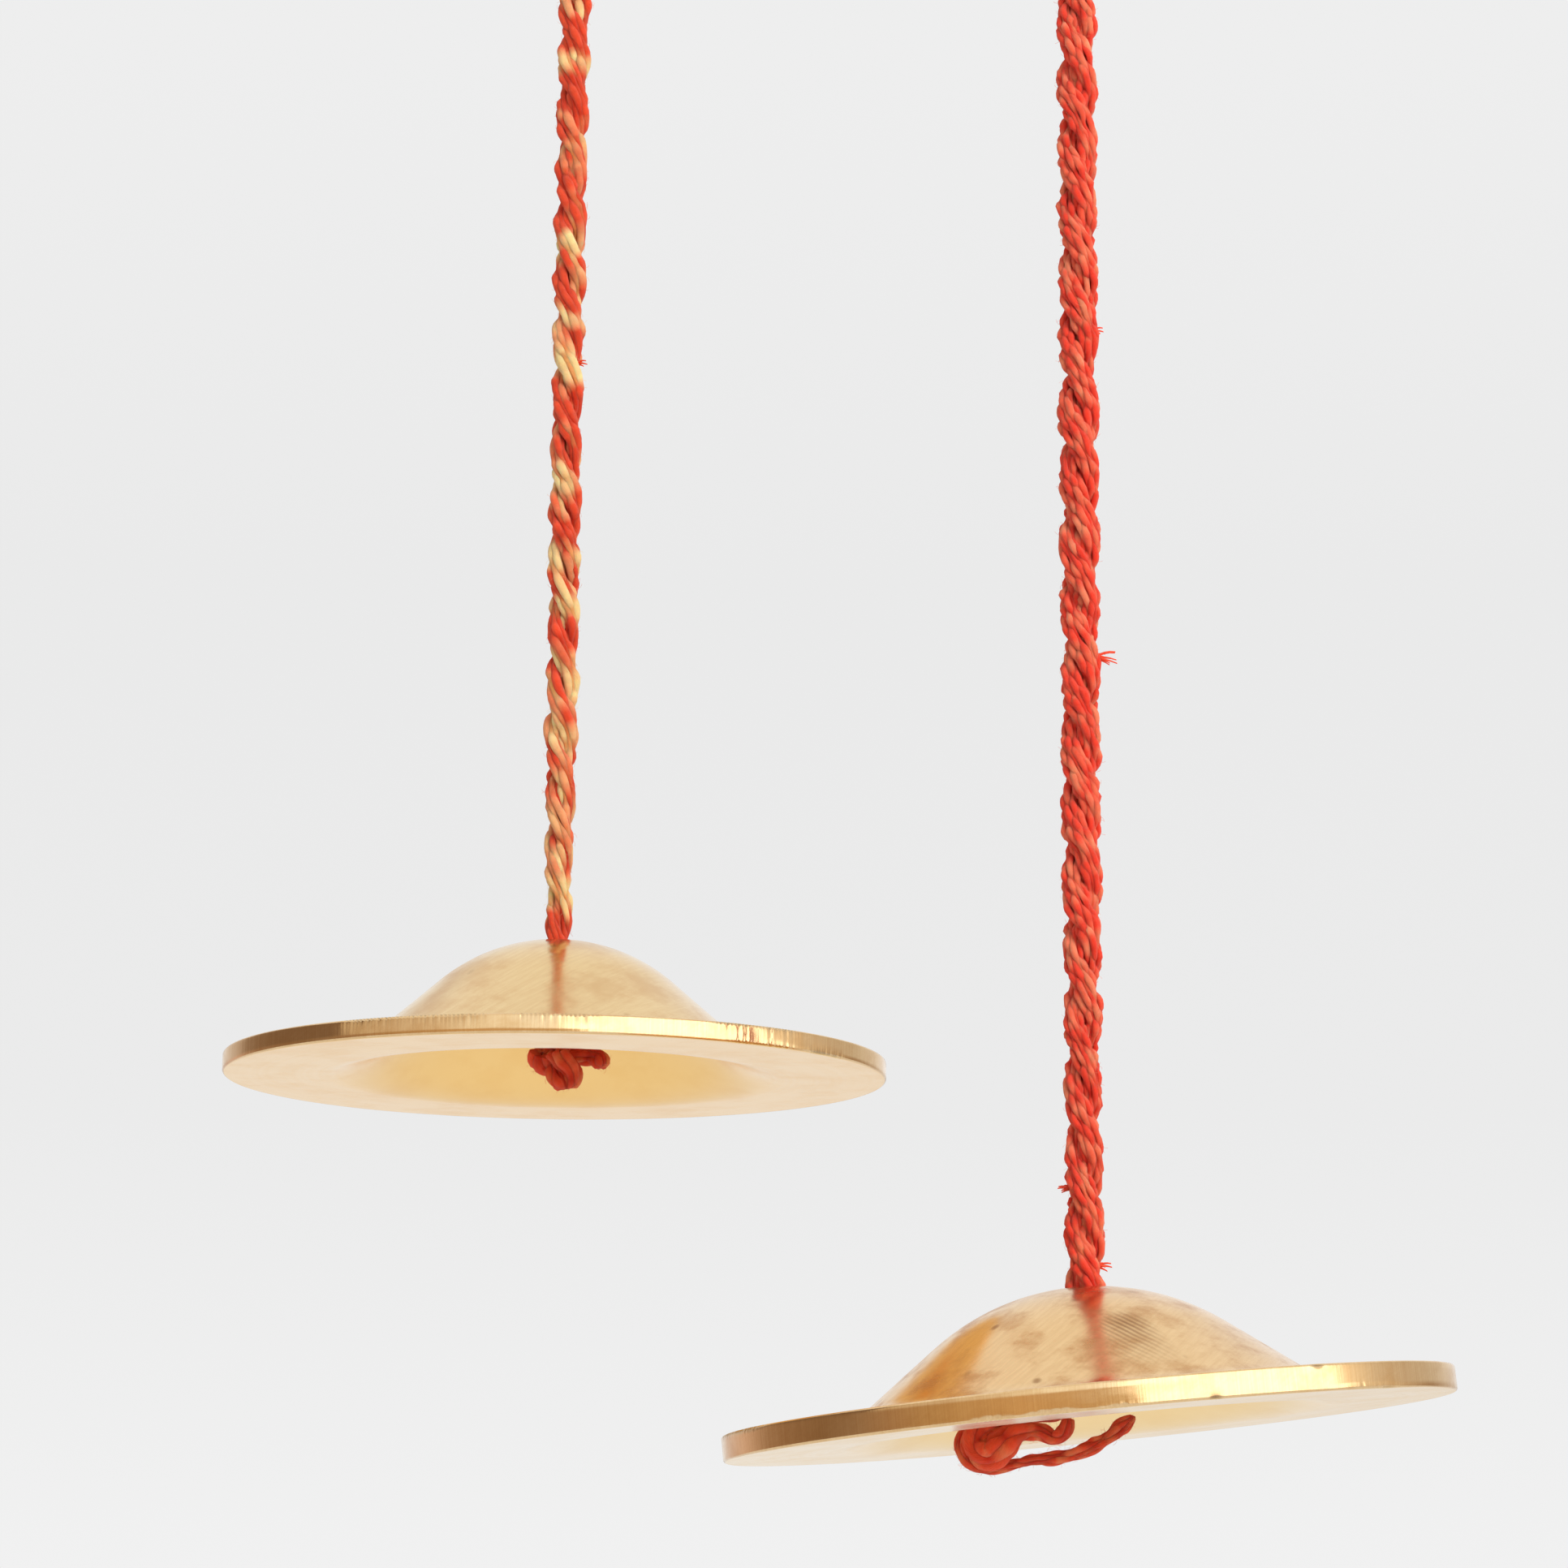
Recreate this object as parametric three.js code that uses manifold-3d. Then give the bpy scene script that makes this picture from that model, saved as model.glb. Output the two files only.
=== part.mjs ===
// A pair of manjira: two small turned brass hand cymbals on the ends of one braided cotton cord.
// Millimetres, +Z up. The origin is the underside of the cord's bight, where the pair hangs.
// The cord lies in the XZ plane, with the left cymbal at -X and the right one at +X.
import * as THREE from 'three';
import { mergeVertices } from 'three/addons/utils/BufferGeometryUtils.js';
import Module from 'manifold-3d';

const wasm = await Module();
wasm.setup();

// The cord hangs over its support in a half circle and straight down on both sides
const cordSpacing = 56.2; // between the middles of the two hanging sides
const bightCordRadius = 1.35;
const upperLength = 18; // of each hanging side, from the bight to its next bend
const bendFace = 0.35; // radius of the flat that is left where a stretch narrows at a bend
const bightSteps = 30;
const cordSides = 8;
const gap = 0.3; // between touching pieces

// The loose ends hang in a plane turned this far about Z from +X
const tailTurn = THREE.MathUtils.degToRad(35.9);

// Each cymbal is a dome, a straight slope, a flare and a flat flange, turned from one casting
const left = {
  name: 'left',
  side: -1,
  legLength: 89.3, // of cord, from the bight to the middle of the cymbal's hole
  cordRadius: 1.2,
  rimRadius: 30,
  rimChamfer: 0.2,
  height: 12.7, // from the flat underside to the crown
  domeRadius: 16.4,
  slope: THREE.MathUtils.degToRad(41), // of the straight part
  flareRadius: 6.4,
  flangeThickness: 1.7,
  wall: 1.6, // of the dome and the slope
  holeOffset: 0, // of the hole from the cymbal's axis
  knotCordRadius: 0.8, // the cord is squeezed in its knot
  knotSeat: 0.7, // under the crown of the cup
  knotTurn: 0,
};
const right = {
  name: 'right',
  side: 1,
  legLength: 123.2,
  cordRadius: 1.5,
  rimRadius: 30,
  rimChamfer: 0.2,
  height: 11.5,
  domeRadius: 20.2,
  slope: THREE.MathUtils.degToRad(36.6),
  flareRadius: 6.6,
  flangeThickness: 2.1,
  wall: 1.7,
  holeOffset: 0.8,
  knotCordRadius: 0.7,
  knotSeat: 0.5,
  knotTurn: Math.PI,
};
const holePlay = 0.6; // round the cord, so that the cymbal can tilt on it
const turnedFaces = 60;
const domeFacets = 6;
const flareFacets = 4;

// Half of an overhand knot's middle line, from its front turn down to its middle.
// The other half is this one turned half way round the Y axis. The unit is half the distance
// between touching turns.
const knotHalf = [
  [0, 2.3, 0],
  [2, 1.9, -0.4],
  [3.2, 0.1, -0.9],
  [2.4, -1.9, -1.5],
  [0.7, -2.8, -2.2],
  [-0.9, -2.2, -2.8],
  [-1.45, -0.8, -2.5],
  [-1.15, 0.05, -1.2],
  [-1.05, 0.1, 0],
];
const knotEnd = [ // the cord above the knot, and turned the same way below it
  [-0.2, 0.15, 4.3],
  [-0.95, 0.15, 1.7],
];
const knotRise = 3.8; // from the knot's middle to its top
const knotSteps = 70;

// Loose ends below each knot, from the knot's end, in millimetres: along the tail plane to the
// right, away from the front, and up
const strandRadius = 0.55;
const strandSteps = 22;
const tails = {
  left_tail: {
    from: 'left',
    radius: 1.1,
    steps: 6,
    points: [[0.3, 0, -0.1], [0.5, -0.05, -1.1], [0.9, -0.15, -2.2], [1.05, -0.15, -3.2]],
  },
  left_strand: {
    from: 'left',
    radius: 0.45,
    steps: strandSteps,
    points: [
      [-1.2, 0.4, 0.1],
      [-1.15, 0.9, -0.45],
      [-0.2, 1.7, -0.5],
      [1.4, 1.9, -0.1],
      [3, 1.5, 0],
      [3.95, 0.9, -0.35],
      [4.15, 0.6, -1.15],
    ],
  },
  right_tail_long: {
    from: 'right',
    radius: strandRadius,
    steps: strandSteps * 2,
    points: [
      [0.1, 0.4, -0.3],
      [-1.4, 0.9, -0.6],
      [-4, 1.4, -1.1],
      [-7, 1.3, -1.4],
      [-9.3, 0.9, -2.1],
      [-10.1, 0.5, -3.6],
      [-9.6, 0.3, -4.8],
      [-8.3, 0.2, -5.4],
      [-6.5, 0.1, -5.2],
      [-4.4, 0, -4.8],
      [-1.8, -0.1, -4.45],
      [1.6, 0, -3.05],
      [4, 0.2, -1.15],
    ],
  },
  right_tail_short: {
    from: 'right',
    radius: strandRadius,
    steps: strandSteps * 2,
    points: [
      [-0.3, -0.8, -0.3],
      [-1.8, -0.6, -0.7],
      [-4.4, -0.1, -1.1],
      [-7, -0.1, -1.7],
      [-8.7, -0.2, -2.6],
      [-8.9, -0.3, -3.7],
      [-8, -0.5, -4.25],
      [-6.9, -0.8, -3.6],
      [-5.7, -1, -2.7],
      [-3.9, -1.2, -2.45],
      [-2.7, -1.3, -3],
      [-1.8, -1.6, -2.6],
      [-1.5, -1.8, -1.45],
    ],
  },
};

// Finish
const brass = { color: 0xd8b26a, roughness: 0.25, metalness: 1 };
const redCotton = { color: 0xd8401f, roughness: 0.95, metalness: 0 };
const darkRedCotton = { color: 0xa01c0a, roughness: 0.95, metalness: 0 };

const bightRadius = cordSpacing / 2; // to the middle of the cord
const bightEnd = bightCordRadius - bightRadius - gap / 2; // where the cord starts straight down
const zAxis = new THREE.Vector3(0, 0, 1);

function solidOf(geometry) {
  const bare = geometry.clone();
  for (const name of Object.keys(bare.attributes)) {
    if (name !== 'position') bare.deleteAttribute(name);
  }
  const merged = mergeVertices(bare, 1e-5);
  return new wasm.Manifold(new wasm.Mesh({
    numProp: 3,
    vertProperties: new Float32Array(merged.attributes.position.array),
    triVerts: new Uint32Array(merged.index.array),
  }));
}

function geometryOf(solid) {
  const mesh = solid.getMesh();
  const geometry = new THREE.BufferGeometry();
  geometry.setAttribute('position', new THREE.BufferAttribute(mesh.vertProperties, 3));
  geometry.setIndex(new THREE.BufferAttribute(mesh.triVerts, 1));
  geometry.computeVertexNormals();
  return geometry;
}

function pieceOf(name, geometry, finish) {
  const mesh = new THREE.Mesh(geometry, new THREE.MeshStandardMaterial(finish));
  mesh.name = name;
  return mesh;
}

function cordSection(radius) {
  const corners = [];
  for (let i = 0; i < cordSides; i += 1) {
    const angle = ((i + 0.5) / cordSides) * Math.PI * 2;
    corners.push(new THREE.Vector2(radius * Math.cos(angle), radius * Math.sin(angle)));
  }
  return new THREE.Shape(corners);
}

function cordAlong(curve, radius, steps) {
  return new THREE.ExtrudeGeometry(cordSection(radius), {
    extrudePath: curve,
    steps,
    bevelEnabled: false,
  });
}

// A hanging stretch from height top down to height bottom, narrowed at both ends so that it can
// bend against the next one
function hangingStretch(radius, top, bottom) {
  const narrowing = radius - bendFace;
  return new THREE.ExtrudeGeometry(cordSection(bendFace), {
    depth: top - bottom - 2 * narrowing,
    bevelEnabled: true,
    bevelThickness: narrowing,
    bevelSize: narrowing,
    bevelSegments: 1,
  }).translate(0, 0, bottom + narrowing);
}

class Bight extends THREE.Curve {
  getPoint(t, target = new THREE.Vector3()) {
    const angle = Math.PI * (1 - t);
    const foot = bightEnd + gap / 2;
    return target.set(bightRadius * Math.cos(angle), 0, foot + bightRadius * Math.sin(angle));
  }
}

// Half section of a cymbal: under the flange, up the inside of the cup, then down its outside
function cymbalSection(c) {
  const sine = Math.sin(c.slope);
  const cosine = Math.cos(c.slope);
  const domeCentre = c.height - c.domeRadius;
  const flareCentre = c.flangeThickness + c.flareRadius;
  const slopeTop = domeCentre + c.domeRadius * cosine;
  const slopeFoot = flareCentre - c.flareRadius * cosine;
  const flareEnd = (c.domeRadius + c.flareRadius) * sine + (slopeTop - slopeFoot) / Math.tan(c.slope);
  const onDome = (radius, angle) => [radius * Math.sin(angle), domeCentre + radius * Math.cos(angle)];
  const onFlare = (radius, angle) => [
    flareEnd - radius * Math.sin(angle),
    flareCentre - radius * Math.cos(angle),
  ];
  const inside = [];
  const outside = [];
  for (let i = 0; i <= domeFacets; i += 1) {
    const angle = (c.slope * i) / domeFacets;
    inside.push(onDome(c.domeRadius - c.wall, angle));
    outside.push(onDome(c.domeRadius, angle));
  }
  for (let i = 0; i <= flareFacets; i += 1) {
    const angle = c.slope * (1 - i / flareFacets);
    inside.push(onFlare(flareCentre, angle));
    outside.push(onFlare(c.flareRadius, angle));
  }
  const rim = [
    [c.rimRadius - c.rimChamfer, c.flangeThickness],
    [c.rimRadius, c.flangeThickness - c.rimChamfer],
    [c.rimRadius, c.rimChamfer],
    [c.rimRadius - c.rimChamfer, 0],
  ];
  const section = [...outside, ...rim, ...inside.reverse()].reverse();
  return section.map(([x, y]) => new THREE.Vector2(x, y));
}

function centreOfMass(geometry) {
  const points = geometry.attributes.position;
  const corners = [new THREE.Vector3(), new THREE.Vector3(), new THREE.Vector3()];
  const cross = new THREE.Vector3();
  let volume = 0;
  let moment = 0;
  for (let i = 0; i < geometry.index.count; i += 3) {
    corners.forEach((corner, j) => corner.fromBufferAttribute(points, geometry.index.getX(i + j)));
    const [a, b, c] = corners;
    const part = a.dot(cross.crossVectors(b, c));
    volume += part;
    moment += (part * (a.z + b.z + c.z)) / 4;
  }
  return moment / volume;
}

function cymbal(c) {
  const turned = new THREE.LatheGeometry(cymbalSection(c), turnedFaces).rotateX(Math.PI / 2);
  const holeRadius = c.cordRadius + holePlay;
  const drill = new THREE.CylinderGeometry(holeRadius, holeRadius, c.height, 24)
    .rotateX(Math.PI / 2)
    .translate(c.holeOffset, 0, c.height);
  return geometryOf(solidOf(turned).subtract(solidOf(drill)));
}

// Half the distance between touching turns of the cord in the knot
function knotUnit(c) {
  return c.knotCordRadius + gap / 2;
}

function knotDrop(c) {
  return c.wall / 2 + c.knotSeat + knotRise * knotUnit(c);
}

// A point of the knot, measured from the middle of the cymbal's hole
function inKnot(c, [x, y, z]) {
  return new THREE.Vector3(x, y, z)
    .multiplyScalar(knotUnit(c))
    .applyAxisAngle(zAxis, c.knotTurn)
    .setZ(z * knotUnit(c) - knotDrop(c));
}

function turnedHalfRound([x, y, z]) {
  return [-x, y, -z];
}

function knot(c) {
  const upToFront = [...knotEnd, ...knotHalf.slice(1).reverse()];
  const downFromFront = upToFront.map(turnedHalfRound).reverse();
  const line = [...upToFront, knotHalf[0], ...downFromFront].map((point) => inKnot(c, point));
  const seam = new THREE.Vector3(0, 0, -gap / 2);
  return cordAlong(new THREE.CatmullRomCurve3([seam, ...line]), c.knotCordRadius, knotSteps);
}

function tail(c, { radius, steps, points }) {
  const knotFoot = inKnot(c, turnedHalfRound(knotEnd[0]));
  const start = new THREE.Vector3(0, 0, knotFoot.z - gap);
  const line = points.map((point) => new THREE.Vector3(...point).add(start));
  return cordAlong(new THREE.CatmullRomCurve3(line), radius, steps);
}

const model = new THREE.Group();
model.add(pieceOf('cord_bight', cordAlong(new Bight(), bightCordRadius, bightSteps), redCotton));

for (const c of [left, right]) {
  const upperEnd = -upperLength;
  const side = new THREE.Group();
  side.position.set(c.side * bightRadius, 0, bightEnd);
  side.add(pieceOf(`${c.name}_cord_upper`,
    hangingStretch(c.cordRadius, -gap / 2, upperEnd + gap / 2), redCotton));
  side.add(pieceOf(`${c.name}_cord_lower`,
    hangingStretch(c.cordRadius, upperEnd - gap / 2, gap / 2 - c.legLength), redCotton));

  // What hangs at the cymbal's hole: a cymbal with its hole off its axis hangs tilted
  const hung = new THREE.Group();
  hung.position.z = -c.legLength;
  hung.rotation.z = tailTurn;
  const body = pieceOf(`${c.name}_cymbal`, cymbal(c), brass);
  const holeHeight = c.height - c.wall / 2;
  body.position.set(-c.holeOffset, 0, -holeHeight);
  const tilted = new THREE.Group();
  tilted.rotation.y = -Math.atan2(c.holeOffset, holeHeight - centreOfMass(body.geometry));
  tilted.add(body);
  hung.add(tilted);
  hung.add(pieceOf(`${c.name}_knot`, knot(c), darkRedCotton));
  for (const [name, shape] of Object.entries(tails)) {
    if (shape.from === c.name) hung.add(pieceOf(name, tail(c, shape), darkRedCotton));
  }
  side.add(hung);
  model.add(side);
}

export default model;
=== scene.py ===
import math
from functools import partial

import bmesh
import bpy
import numpy as np
from mathutils import Matrix, Vector


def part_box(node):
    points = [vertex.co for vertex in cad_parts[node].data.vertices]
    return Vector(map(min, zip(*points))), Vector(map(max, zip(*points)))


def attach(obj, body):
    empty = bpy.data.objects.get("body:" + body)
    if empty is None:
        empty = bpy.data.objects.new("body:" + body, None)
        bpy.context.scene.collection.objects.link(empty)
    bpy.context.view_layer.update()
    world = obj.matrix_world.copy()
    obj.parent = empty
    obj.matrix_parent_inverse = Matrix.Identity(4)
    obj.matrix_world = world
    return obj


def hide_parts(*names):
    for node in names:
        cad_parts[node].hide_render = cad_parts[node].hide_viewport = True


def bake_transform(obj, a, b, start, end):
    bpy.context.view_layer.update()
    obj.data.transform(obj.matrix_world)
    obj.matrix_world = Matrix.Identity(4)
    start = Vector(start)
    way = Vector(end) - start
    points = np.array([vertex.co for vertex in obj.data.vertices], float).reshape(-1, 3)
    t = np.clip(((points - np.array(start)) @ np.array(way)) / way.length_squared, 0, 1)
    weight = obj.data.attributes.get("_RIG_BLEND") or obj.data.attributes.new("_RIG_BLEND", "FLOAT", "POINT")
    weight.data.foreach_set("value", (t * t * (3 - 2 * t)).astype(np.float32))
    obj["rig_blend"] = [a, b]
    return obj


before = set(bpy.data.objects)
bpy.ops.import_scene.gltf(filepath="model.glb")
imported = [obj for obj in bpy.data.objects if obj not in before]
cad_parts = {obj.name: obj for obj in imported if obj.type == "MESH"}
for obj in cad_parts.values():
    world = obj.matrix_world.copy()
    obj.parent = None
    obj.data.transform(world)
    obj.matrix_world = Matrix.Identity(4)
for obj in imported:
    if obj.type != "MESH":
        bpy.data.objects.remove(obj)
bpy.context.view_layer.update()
mm = 0.001
print("frame loaded:", len(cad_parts), "nodes")


# Helpers for node trees
def put(tree, kind, inputs=None, **settings):
    node = tree.nodes.new(kind)
    for name, value in settings.items():
        setattr(node, name, value)
    for key, value in (inputs or {}).items():
        if isinstance(value, bpy.types.NodeSocket):
            tree.links.new(value, node.inputs[key])
        else:
            node.inputs[key].default_value = value
    return node


def result(*given, **settings):
    return put(*given, **settings).outputs[0]


def treeOf(values):
    # The tree that holds the first socket among some values
    return next(value.id_data for value in values if isinstance(value, bpy.types.NodeSocket))


def calc(operation, *values, clamp=False):
    inputs = dict(enumerate(values))
    return result(treeOf(values), "ShaderNodeMath", inputs, operation=operation, use_clamp=clamp)


add, subtract, multiply, divide, multiplyAdd = (
    partial(calc, operation) for operation in ("ADD", "SUBTRACT", "MULTIPLY", "DIVIDE", "MULTIPLY_ADD"))


def vectorCalc(operation, *values):
    inputs = dict(enumerate(values))
    node = put(treeOf(values), "ShaderNodeVectorMath", inputs, operation=operation)
    return node.outputs["Value" if operation in ("LENGTH", "DOT_PRODUCT") else "Vector"]


def times(vector, factor):
    inputs = {0: vector, "Scale": factor}
    return put(vector.id_data, "ShaderNodeVectorMath", inputs, operation="SCALE").outputs["Vector"]


def spread(value, low, high, toLow=0.0, toHigh=1.0, smooth=False):
    kind = "SMOOTHSTEP" if smooth else "LINEAR"
    inputs = {0: value, 1: low, 2: high, 3: toLow, 4: toHigh}
    return result(value.id_data, "ShaderNodeMapRange", inputs, interpolation_type=kind)


def combine(*parts):
    return result(treeOf(parts), "ShaderNodeCombineXYZ", dict(enumerate(parts)))


def noise(vector, scale, detail=2.0, roughness=0.5):
    inputs = {"Vector": vector, "Scale": scale, "Detail": detail, "Roughness": roughness}
    return result(vector.id_data, "ShaderNodeTexNoise", inputs)


def mixColor(factor, a, b, blend="MIX"):
    inputs = {0: factor, 6: a, 7: b}
    node = put(treeOf(inputs.values()), "ShaderNodeMix", inputs, data_type="RGBA", blend_type=blend)
    return node.outputs[2]


def attribute(tree, name, output="Fac"):
    return put(tree, "ShaderNodeAttribute", attribute_name=name).outputs[output]


def kindOf(name, value):
    # A socket's kind follows from its first value; geometry and material have none
    if value is None:
        return name
    if isinstance(value, tuple):
        return "Color" if len(value) == 4 else "Vector"
    return "Int" if isinstance(value, int) else "Float"


def newGroup(name, kind, inputs, outputs):
    tree = bpy.data.node_groups.new(name, kind)
    for label, value in inputs.items():
        made = tree.interface.new_socket(
            label, in_out="INPUT", socket_type="NodeSocket" + kindOf(label, value))
        if value is not None:
            made.default_value = value
    for label, socket in outputs.items():
        tree.interface.new_socket(label, in_out="OUTPUT", socket_type="NodeSocket" + socket)
    return tree, put(tree, "NodeGroupInput").outputs, put(tree, "NodeGroupOutput").inputs


def newMaterial(name):
    material = bpy.data.materials.new(name)
    material.use_nodes = True
    material.node_tree.nodes.clear()
    return material, material.node_tree


# Helpers for objects and meshes
def addObject(name, data):
    made = bpy.data.objects.new(name, data)
    bpy.context.scene.collection.objects.link(made)
    return made


def setAttribute(mesh, name, kind, values):
    data = mesh.attributes.new(name, kind, "POINT").data
    data.foreach_set("vector" if kind == "FLOAT_VECTOR" else "value",
                     np.array(values, dtype=np.float32).ravel())


def rgb(red, green, blue):
    # A colour as a screen shows it, from 0 to 255, as linear light
    def linear(value):
        value /= 255
        return value / 12.92 if value <= 0.04045 else ((value + 0.055) / 1.055) ** 2.4

    return (linear(red), linear(green), linear(blue), 1.0)


# Camera
# It stands below both cymbals and looks up at their undersides
view = {
    "place": (0.2158, -0.3026, -0.1790),
    "turn": 35.84,  # degrees about Z, from +Y towards -X
    "pitch": 11.42,
    "roll": 0.41,
    "lens": 98.85,  # mm, on the 36 mm sensor
}


def makeCamera():
    data = bpy.data.cameras.new("camera")
    data.lens = view["lens"]
    data.clip_start = 0.01
    camera = addObject("camera", data)
    bpy.context.scene.camera = camera
    turn = Matrix.Rotation(math.radians(view["turn"]), 4, "Z")
    pitch = Matrix.Rotation(math.radians(90 + view["pitch"]), 4, "X")
    roll = Matrix.Rotation(math.radians(view["roll"]), 4, "Z")
    camera.matrix_world = Matrix.Translation(view["place"]) @ turn @ pitch @ roll


makeCamera()
print("camera made")


# Cotton
# Two colours lie in patches along the strands and yarns of a cord, and light and shade are painted on
# them: a yarn is drawn lighter where it comes up and darker in the hollows. These hold for every cord.
dyeAndPaintedLight = {
    "strandsApart": 7.3,  # in the noise, so that each strand and yarn has patches of its own
    "yarnsApart": 3.1,
    "yarnsFromStrands": 20.0,
    "mottlesApart": 2.1,
    "strandPatches": 0.6,  # to a patch length
    "yarnPatches": 1.0,
    "paleLift": 0.3,  # what a pale place adds to the noise
    "lastFade": (-1.0, 0.5),  # mm before and past the end of the second colour
    "fibreTurn": 1.4,  # radians that the fibres turn round their yarn in a mm
    "fibresAlong": 0.35,
    "fibreRange": (0.3, 0.7),  # of their noise, from the darkest to the lightest
    "fibreLight": (0.88, 1.1),
    "mottles": 0.9,  # to a mm
    "mottleGain": 2.2,
    # painted light: how much lighter a yarn is drawn where it comes up
    "paintedTopLight": 1.08,
    "paintedShadeRange": (0.4, -1.0),  # how a yarn lies where the painted shade of a hollow starts and where it is deepest
    "paintedShadeShare": 0.85,  # of the painted shade colour, at the deepest
}


def makeYarnShade():
    tree, given, wanted = newGroup("yarnShade", "ShaderNodeTree", {
        "Main": (0.7, 0.1, 0.03, 1), "Second": (0.9, 0.7, 0.4, 1), "Second Share": 0.5,
        "Softness": 0.04, "Patch Length": 6.0, "Strand Share": 0.5, "Second Until": 1000.0,
        "Mottle": 0.3, "Fibres": 9.0, "Hollow": (0.5, 0.2, 0.1, 1)},
        {"Color": "Color", "Height": "Float"})
    along, strand, yarn, raised, paler = (
        attribute(tree, name) for name in ("along", "strand", "yarn", "raised", "paler"))
    around = attribute(tree, "around", "Vector")

    # Patches of the second colour: each strand has its own, each yarn its own among them, and
    # the places that are listed as paler have more of it
    patchAt = divide(along, given["Patch Length"])
    strandLine = multiply(strand, dyeAndPaintedLight["strandsApart"])
    line = multiplyAdd(yarn, dyeAndPaintedLight["yarnsApart"], strandLine)
    onStrand = noise(combine(patchAt, strandLine, 0.0), dyeAndPaintedLight["strandPatches"], 0.0)
    onYarn = noise(combine(patchAt, line, dyeAndPaintedLight["yarnsFromStrands"]), dyeAndPaintedLight["yarnPatches"], 0.0)
    patch = result(tree, "ShaderNodeMix", {0: given["Strand Share"], 2: onYarn, 3: onStrand})
    patch = multiplyAdd(paler, dyeAndPaintedLight["paleLift"], patch)
    middle = subtract(1.0, given["Second Share"])
    second = spread(patch, subtract(middle, given["Softness"]), add(middle, given["Softness"]))
    past = subtract(along, given["Second Until"])
    second = multiply(second, spread(past, *dyeAndPaintedLight["lastFade"], 1.0, 0.0))

    # Fibres run along each yarn and turn slowly round it
    turned = result(tree, "ShaderNodeVectorRotate", {
        "Vector": around, "Angle": multiply(along, dyeAndPaintedLight["fibreTurn"])}, rotation_type="Z_AXIS")
    fibreStep = combine(line, 0.0, multiply(along, dyeAndPaintedLight["fibresAlong"]))
    fibreAt = vectorCalc("MULTIPLY_ADD", turned, (1.0, 1.0, 0.0), fibreStep)
    fibre = noise(fibreAt, given["Fibres"], 3.0, 0.6)
    mottleAt = combine(along, line, multiply(yarn, dyeAndPaintedLight["mottlesApart"]))
    mottle = noise(mottleAt, dyeAndPaintedLight["mottles"], 2.0)
    base = mixColor(second, given["Main"], given["Second"])
    level = multiplyAdd(subtract(mottle, 0.5), multiply(given["Mottle"], dyeAndPaintedLight["mottleGain"]), 1.0)
    level = multiply(level, spread(fibre, *dyeAndPaintedLight["fibreRange"], *dyeAndPaintedLight["fibreLight"]))
    # Painted light and shade: a yarn is drawn lighter where it comes up, and darker, towards the painted
    # shade colour, where it dives into a hollow
    level = multiply(level, spread(raised, 0.0, 1.0, 1.0, dyeAndPaintedLight["paintedTopLight"]))
    shaded = result(tree, "ShaderNodeHueSaturation", {"Value": level, "Color": base})
    deep = spread(raised, *dyeAndPaintedLight["paintedShadeRange"], 0.0, dyeAndPaintedLight["paintedShadeShare"])
    shaded = mixColor(deep, shaded, given["Hollow"], "MULTIPLY")
    tree.links.new(shaded, wanted["Color"])
    tree.links.new(fibre, wanted["Height"])
    return tree


yarnShade = makeYarnShade()


def cottonMaterial(name, look):
    material, tree = newMaterial(name)
    shade = put(tree, "ShaderNodeGroup", look, node_tree=yarnShade)
    bump = result(tree, "ShaderNodeBump", {
        "Strength": 1.0, "Distance": 0.16 * mm, "Height": shade.outputs["Height"]})
    shader = result(tree, "ShaderNodeBsdfPrincipled", {
        "Base Color": shade.outputs["Color"], "Roughness": 0.88, "Normal": bump,
        "Sheen Weight": 0.12, "Sheen Roughness": 0.5, "Specular IOR Level": 0.12,
        "Subsurface Weight": 0.5, "Subsurface Radius": (1.0, 0.35, 0.2), "Subsurface Scale": 0.35 * mm})
    put(tree, "ShaderNodeOutputMaterial", {"Surface": shader})
    return material


# Patch lengths are in mm, and so is the place along the cord where the second colour ends
# The last colour of each is painted shade: the hollows between the yarns are multiplied by it.
cotton = {
    "left": cottonMaterial("cottonRedCream", {
        "Main": rgb(232, 78, 44), "Second": rgb(255, 210, 146), "Second Share": 0.35,
        "Softness": 0.11, "Patch Length": 3.0, "Strand Share": 0.5, "Second Until": 131.2,
        "Mottle": 0.32, "Hollow": rgb(236, 178, 136)}),
    # Its second colour, a lighter orange in random strokes, is a painted highlight that stands for lit
    # strokes, and a random change of tone.
    "right": cottonMaterial("cottonRed", {
        "Main": rgb(246, 68, 44), "Second": rgb(255, 136, 98), "Second Share": 0.42,
        "Softness": 0.16, "Patch Length": 1.5, "Strand Share": 0.1,
        "Mottle": 0.3, "Hollow": rgb(250, 206, 190)}),
    "knots": cottonMaterial("cottonDarkRed", {
        "Main": rgb(236, 78, 42), "Second": rgb(252, 144, 94), "Second Share": 0.3,
        "Softness": 0.18, "Patch Length": 1.3, "Strand Share": 0.1,
        "Mottle": 0.28, "Hollow": rgb(234, 166, 142)}),
}


# Laid cord, by Geometry Nodes
# The tree lays yarns round each strand and strands round the route that it is given. These hold
# for every cord.
laying = {
    "bumps": 520.0,  # uneven places of a yarn, to the metre
    "bumpsApart": 3.7,  # in the noise, from one yarn to the next
    "slip": 2.4,  # radians from one yarn's stroke to the next
    "slipByBump": 7.0,
    "swells": 210.0,  # of the whole cord, to the metre
    "swellGain": 2.4,
    "fullByStroke": 0.4,  # how a yarn fills out where it comes up, and by its own bumps
    "fullByBump": 1.6,
    "strays": 0.8,  # to a bump
    "strayGain": 4.0,
    "fibreReach": (0.35, 1.0),  # shortest and longest loose fibre, as shares of Fuzz Length
    "fibreThick": 0.02,
    "fibreBend": {"Start": (0, 0, 0), "Middle": (0.1, 0, 0.45), "End": (0.85, 0.1, 0.4)},
}


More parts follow.
